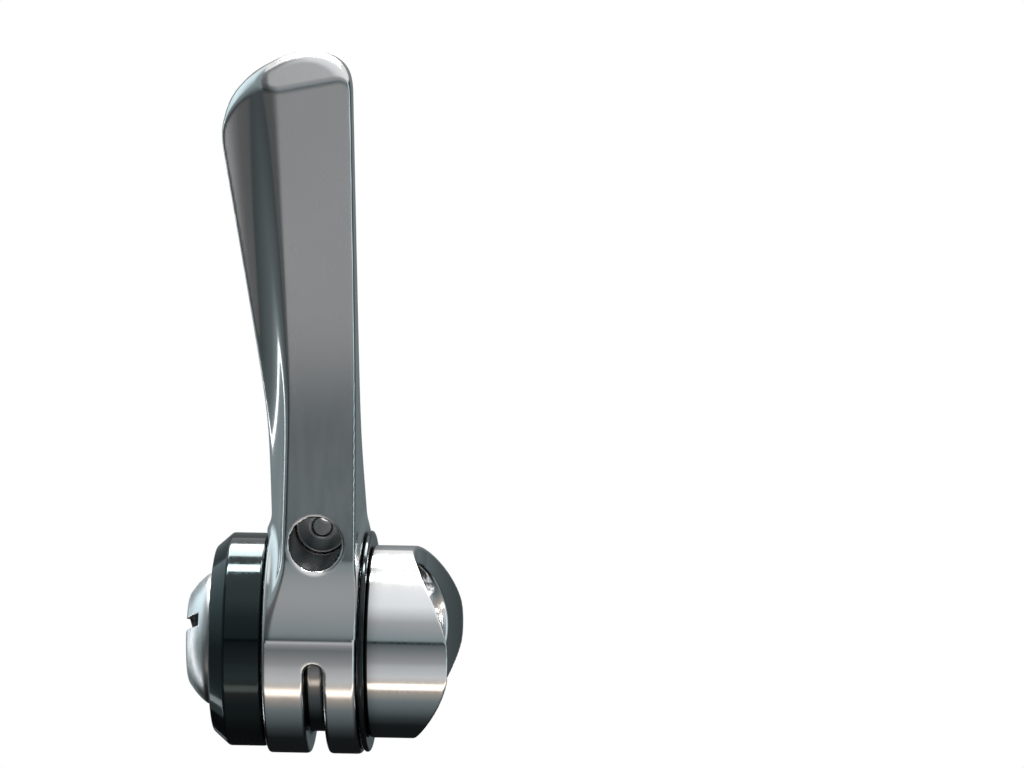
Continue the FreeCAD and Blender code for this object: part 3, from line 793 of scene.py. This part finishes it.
# Places from front to back on the side sheets, and rows of a height and the brightness at each place
OUTBOARD_PLACES = (-0.62, -0.1, 0.15, 0.62)
OUTBOARD_ROWS = [
    (-0.6, 0.05, 0.12, 0.3, 0.25), (-0.05, 0.07, 0.15, 0.33, 0.28),
    (0.25, 0.3, 0.35, 1.1, 1.3), (0.8, 0.35, 0.4, 0.5, 1.0)]
STRIP_PLACES = (0.15, 0.22)
STRIP_ROWS = [(-0.6, 3.0, 3.0), (0.1, 3.0, 3.0)]
TUBE_SIDE_PLACES = (-0.62, -0.1, 0.62)
TUBE_SIDE_ROWS = [(-0.4, 1.3, 0.06, 0.15), (0.3, 1.3, 0.06, 0.15)]


def emission_material(name):
    """Glows with the brightness that the mesh carries at each corner."""
    material = bpy.data.materials.new(name)
    material.use_nodes = True
    tree = material.node_tree
    tree.nodes.clear()
    tone = tree.nodes.new("ShaderNodeAttribute")
    tone.attribute_name = "tone"
    glow = tree.nodes.new("ShaderNodeEmission")
    output = tree.nodes.new("ShaderNodeOutputMaterial")
    tree.links.new(tone.outputs["Color"], glow.inputs["Color"])
    tree.links.new(glow.outputs["Emission"], output.inputs["Surface"])
    return material


def card(name, corners, faces, tones):
    """Sheet seen in reflections alone, with a brightness at each corner."""
    mesh = bpy.data.meshes.new(name)
    mesh.from_pydata(corners, [], faces)
    layer = mesh.color_attributes.new("tone", "FLOAT_COLOR", "POINT")
    for item, (tone, tint) in zip(layer.data, tones):
        item.color = (*(tone * part for part in tint), 1)
    piece = bpy.data.objects.new(name, mesh)
    bpy.context.scene.collection.objects.link(piece)
    paint(piece, emission_material(name))
    piece.visible_camera = False
    piece.visible_diffuse = False
    piece.visible_shadow = False


def grid_faces(rows, columns):
    """Four-sided faces between the corners of a grid."""
    return [(i * columns + j, i * columns + j + 1, (i + 1) * columns + j + 1, (i + 1) * columns + j)
            for i in range(rows - 1) for j in range(columns - 1)]


def front_wrap():
    """Curved sheet round the front, dimmed towards its outboard end."""
    corners, tones = [], []
    for angle, tone, tint in WRAP_TONES:
        ahead = -WRAP_RADIUS * math.cos(math.radians(angle))
        up = WRAP_RADIUS * math.sin(math.radians(angle))
        corners += [(x, ahead, up) for x, _ in WRAP_COLUMNS]
        tones += [(tone * share, tint) for _, share in WRAP_COLUMNS]
    card("front_wrap", corners, grid_faces(len(WRAP_TONES), len(WRAP_COLUMNS)), tones)


def side_card(name, x, places, rows, tint):
    """Upright sheet beside the object.

    The places run from front to back; each row is a height and the brightness at every place.
    """
    corners = [(x, y, z) for z, *_ in rows for y in places]
    tones = [(tone, tint) for _, *row in rows for tone in row]
    card(name, corners, grid_faces(len(rows), len(places)), tones)


def back_card(name, y, left, right, low, high, tone):
    """Upright sheet behind the object, of one brightness."""
    corners = [(x, y, z) for z in (low, high) for x in (left, right)]
    card(name, corners, grid_faces(2, 2), [(tone, COOL)] * len(corners))


def white_world():
    """White where the camera or a reflection sees it, and a little dimmer as light."""
    world = bpy.data.worlds.new("white")
    bpy.context.scene.world = world
    world.use_nodes = True
    tree = world.node_tree
    background = tree.nodes["Background"]
    path = tree.nodes.new("ShaderNodeLightPath")
    seen = path.outputs["Is Camera Ray"]
    for kind in ("Is Glossy Ray", "Is Transmission Ray"):
        seen = combine(tree, "MAXIMUM", seen, path.outputs[kind])
    strength = map_range(tree, seen, 0.0, 1.0, WORLD_LIGHT, WORLD_WHITE)
    tree.links.new(strength, background.inputs["Strength"])
    background.inputs["Color"].default_value = (1, 1, 1, 1)


def softbox(name, angle, depth, power, mirrored):
    """Area light at an angle above the front horizon: mirrored ones show in reflections alone."""
    data = bpy.data.lights.new(name, "AREA")
    data.shape = "RECTANGLE"
    data.size = LAMP_WIDTH
    data.size_y = depth
    data.energy = power
    lamp = bpy.data.objects.new(name, data)
    lamp.visible_diffuse = not mirrored
    lamp.visible_glossy = mirrored
    turn = math.radians(angle)
    lamp.location = (0, -LAMP_DISTANCE * math.cos(turn), LAMP_DISTANCE * math.sin(turn))
    lamp.rotation_mode = "QUATERNION"
    lamp.rotation_quaternion = (-lamp.location).to_track_quat("-Z", "Y")
    bpy.context.scene.collection.objects.link(lamp)


white_world()
front_wrap()
side_card("outboard_card", -CARD_DISTANCE, OUTBOARD_PLACES, OUTBOARD_ROWS, COOL)
side_card("outboard_strip", -STRIP_DISTANCE, STRIP_PLACES, STRIP_ROWS, PALE)
back_card("back_outboard_card", CARD_DISTANCE, left=-0.9, right=-0.2, low=-0.5, high=0.3, tone=0.28)
side_card("tube_side_card", CARD_DISTANCE, TUBE_SIDE_PLACES, TUBE_SIDE_ROWS, COOL)
softbox("front_softbox", angle=96, depth=0.1, power=6.0, mirrored=True)
softbox("back_softbox", angle=126, depth=0.25, power=6.5, mirrored=True)
softbox("room_light", angle=55, depth=0.5, power=1.1, mirrored=False)

# Camera, from the place of the saddle's centre in the 1024 by 768 picture

PIXELS_PER_MM = 9.0
ORIGIN_PIXEL = (415.5, 642.0)
PICTURE = (1024, 768)
ELEVATION = math.radians(12.5)
AZIMUTH = math.radians(4.5)
DISTANCE = 1.5
SENSOR = 36.0


def add_camera():
    data = bpy.data.cameras.new("photo_camera")
    data.sensor_width = SENSOR
    data.lens = SENSOR * DISTANCE / (PICTURE[0] / PIXELS_PER_MM * MM)
    camera = bpy.data.objects.new("photo_camera", data)
    right = Vector((math.cos(AZIMUTH), math.sin(AZIMUTH), 0))
    level = Vector((math.sin(AZIMUTH), -math.cos(AZIMUTH), 0))
    back = level * math.cos(ELEVATION) + Vector((0, 0, math.sin(ELEVATION)))
    up = Vector((0, 0, math.cos(ELEVATION))) - level * math.sin(ELEVATION)
    aside = (PICTURE[0] / 2 - ORIGIN_PIXEL[0]) / PIXELS_PER_MM * MM
    above = (ORIGIN_PIXEL[1] - PICTURE[1] / 2) / PIXELS_PER_MM * MM
    camera.location = right * aside + up * above + back * DISTANCE
    camera.rotation_mode = "QUATERNION"
    camera.rotation_quaternion = (-back).to_track_quat("-Z", "Y")
    bpy.context.scene.collection.objects.link(camera)
    bpy.context.scene.camera = camera


add_camera()
bpy.context.scene.view_settings.view_transform = "Standard"
